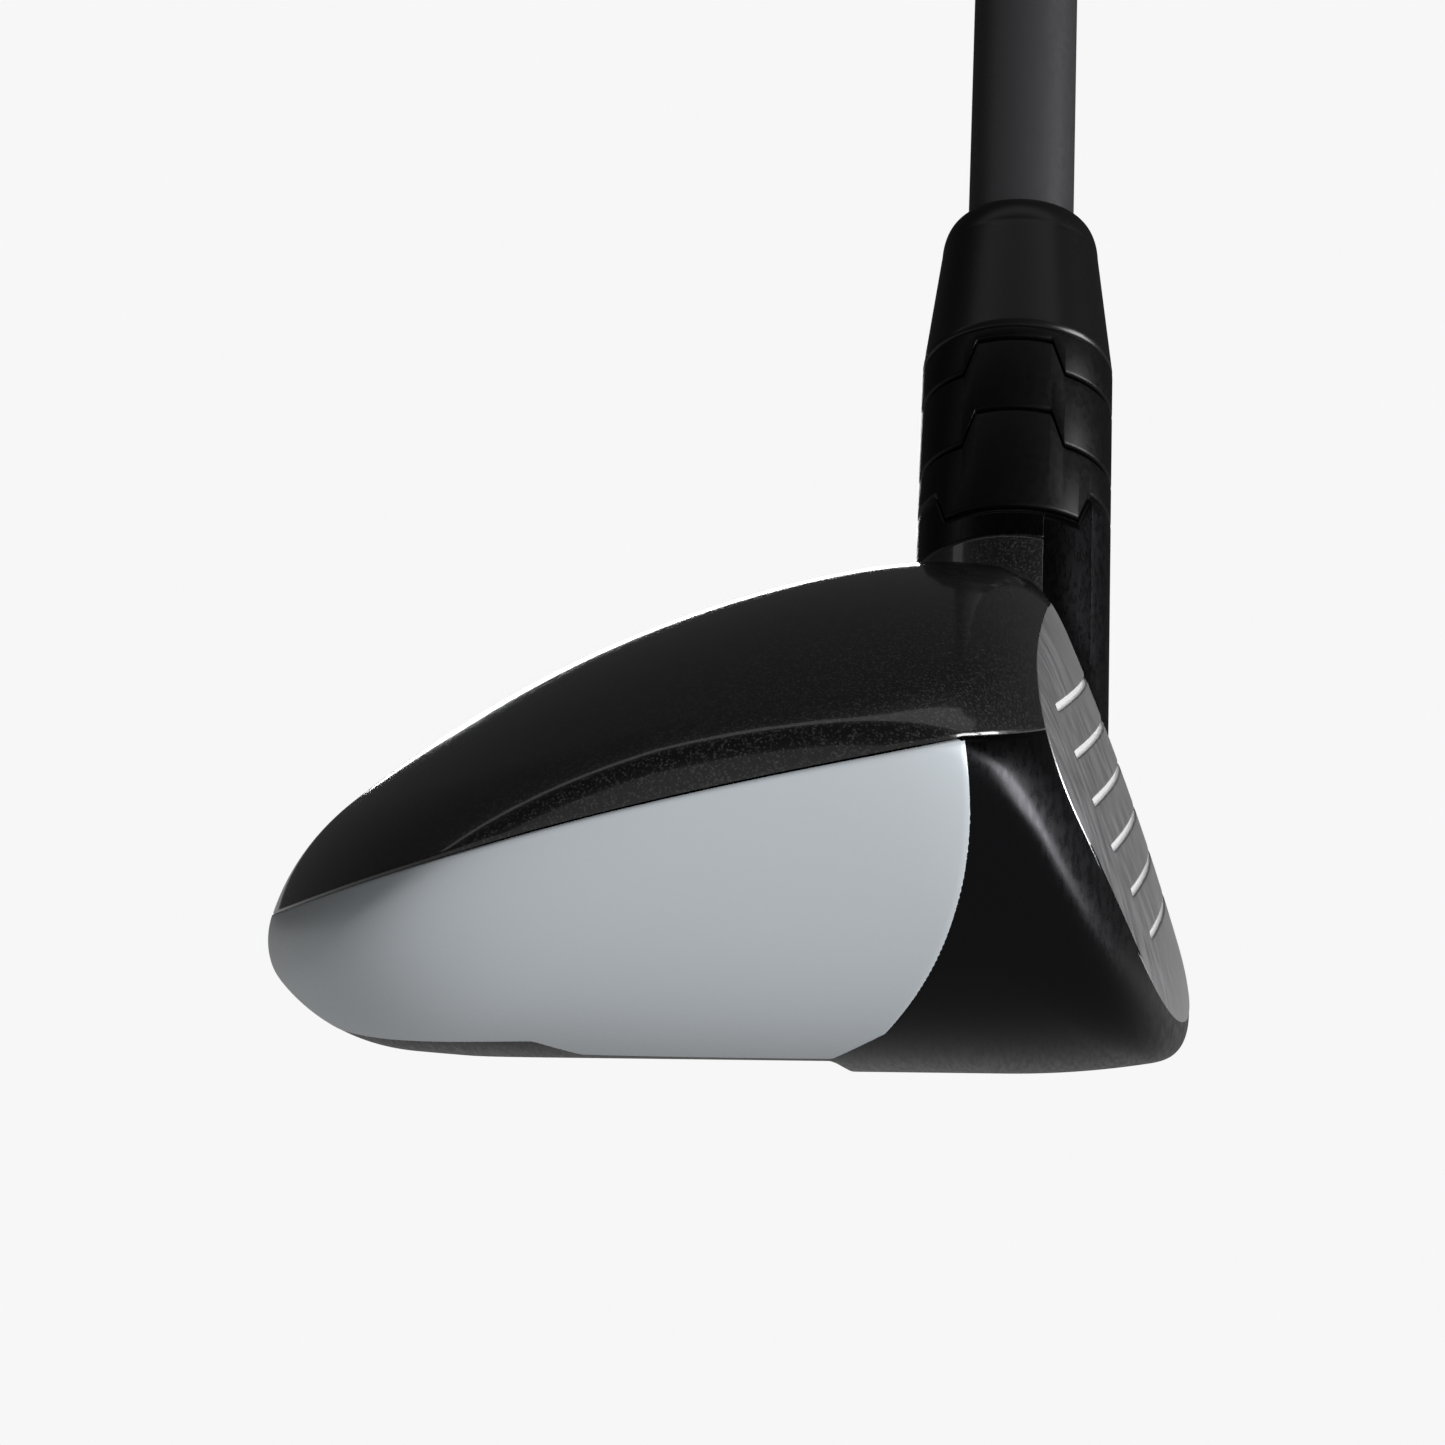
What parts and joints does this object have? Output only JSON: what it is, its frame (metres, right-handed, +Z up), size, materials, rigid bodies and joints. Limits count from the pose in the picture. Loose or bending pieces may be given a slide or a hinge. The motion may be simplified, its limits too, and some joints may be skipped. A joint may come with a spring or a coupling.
{
  "type": "hybrid golf club",
  "caption": "Right-handed hybrid golf club with an adjustable toothed hosel, grooved face, black crown, grey side panel, graphite shaft and rubber grip.",
  "frame": {"origin": "the point where the shaft axis meets the ground with the sole resting flat", "axes": "+Z up, +X the way the face looks (the target), +Y from the toe towards the heel and the golfer"},
  "size_m": [0.0683, 0.6158, 0.88],
  "materials": {
    "body_black": "brushed black plated steel",
    "face_steel": "satin grey steel face",
    "crown_gloss_black": "gloss black lacquer with a fine metal flake over carbon composite",
    "panel_grey": "satin silver-grey lacquer on composite",
    "keel_black": "black composite",
    "dense_metal": "raw sintered tungsten alloy",
    "raw_steel": "raw steel",
    "weight_black": "black plated steel",
    "screw_steel": "dark zinc plated steel",
    "washer_steel": "stainless steel",
    "nylon": "natural nylon",
    "sleeve_black": "black anodised aluminium",
    "cog_black": "satin black glass-filled nylon",
    "ring_rubber": "black nitrile rubber",
    "ferrule_black": "gloss black moulded plastic",
    "shaft_graphite": "satin dark grey lacquer on carbon fibre",
    "brass": "brass",
    "tape_paper": "double sided paper tape",
    "grip_rubber": "black rubber with a moulded grip pattern",
    "grip_cap_rubber": "black rubber butt cap"
  },
  "bodies": {
    "head": {"main_body": "body_black", "face_plate": "face_steel", "crown_shell": "crown_gloss_black", "skirt_panel": "panel_grey", "sole_insert": "keel_black", "tungsten_block": "dense_metal", "brace_bars": "raw_steel", "screw_washer": "washer_steel", "screw_retainer": "nylon"},
    "rear_weight": {"rear_weight": "weight_black"},
    "rear_weight_screw": {"rear_weight_screw": "screw_steel"},
    "hosel_screw": {"hosel_screw": "screw_steel"},
    "shaft_assembly": {"shaft_sleeve": "sleeve_black", "ferrule": "ferrule_black", "shaft": "shaft_graphite", "tip_plug": "brass", "grip_tape": "tape_paper", "grip": "grip_rubber", "grip_cap": "grip_cap_rubber"},
    "lower_cog_carrier": {"lower_cog_ring": "ring_rubber"},
    "lower_cog": {"lower_cog": "cog_black"},
    "upper_cog_carrier": {"upper_cog_ring": "ring_rubber"},
    "upper_cog": {"upper_cog": "cog_black"}
  },
  "joints": [
    {"name": "shaft_lift", "type": "slide", "parent": "head", "child": "shaft_assembly", "axis": [0, 0.515, 0.8572], "range_m": [0, 0.045]},
    {"name": "lower_cog_slide", "type": "slide", "parent": "head", "child": "lower_cog_carrier", "axis": [0, 0.515, 0.8572], "range_m": [0, 0.02025]},
    {"name": "lower_cog_turn", "type": "hinge", "parent": "lower_cog_carrier", "child": "lower_cog", "pos_m": [0, 0.0238, 0.0396], "axis": [0, 0.515, 0.8572], "range_deg": [0, 50.1]},
    {"name": "upper_cog_slide", "type": "slide", "parent": "head", "child": "upper_cog_carrier", "axis": [0, 0.515, 0.8572], "range_m": [0, 0.03263]},
    {"name": "upper_cog_turn", "type": "hinge", "parent": "upper_cog_carrier", "child": "upper_cog", "pos_m": [0, 0.0274, 0.0456], "axis": [0, 0.515, 0.8572], "range_deg": [0, 30.1]},
    {"name": "hosel_screw_turn", "type": "hinge", "parent": "head", "child": "hosel_screw", "pos_m": [0, 0.00773, 0.01286], "axis": [0, -0.515, -0.8572], "continuous": true},
    {"name": "rear_weight_out", "type": "slide", "parent": "head", "child": "rear_weight", "axis": [0, 0, -1], "range_m": [0, 0.008]},
    {"name": "rear_weight_screw_turn", "type": "hinge", "parent": "rear_weight", "child": "rear_weight_screw", "pos_m": [-0.0375, -0.0355, 0.003], "axis": [0, 0, -1], "range_deg": [0, 4120]}
  ],
  "couplings": [
    {"joint": "lower_cog_slide", "follows": "shaft_lift", "ratio": 0.45},
    {"joint": "upper_cog_slide", "follows": "shaft_lift", "ratio": 0.725},
    {"joint": "lower_cog_turn", "follows": "shaft_lift", "rad_per_m": 19.392},
    {"joint": "upper_cog_turn", "follows": "shaft_lift", "rad_per_m": 11.636},
    {"joint": "rear_weight_screw_turn", "follows": "rear_weight_out", "rad_per_m": 8976}
  ]
}
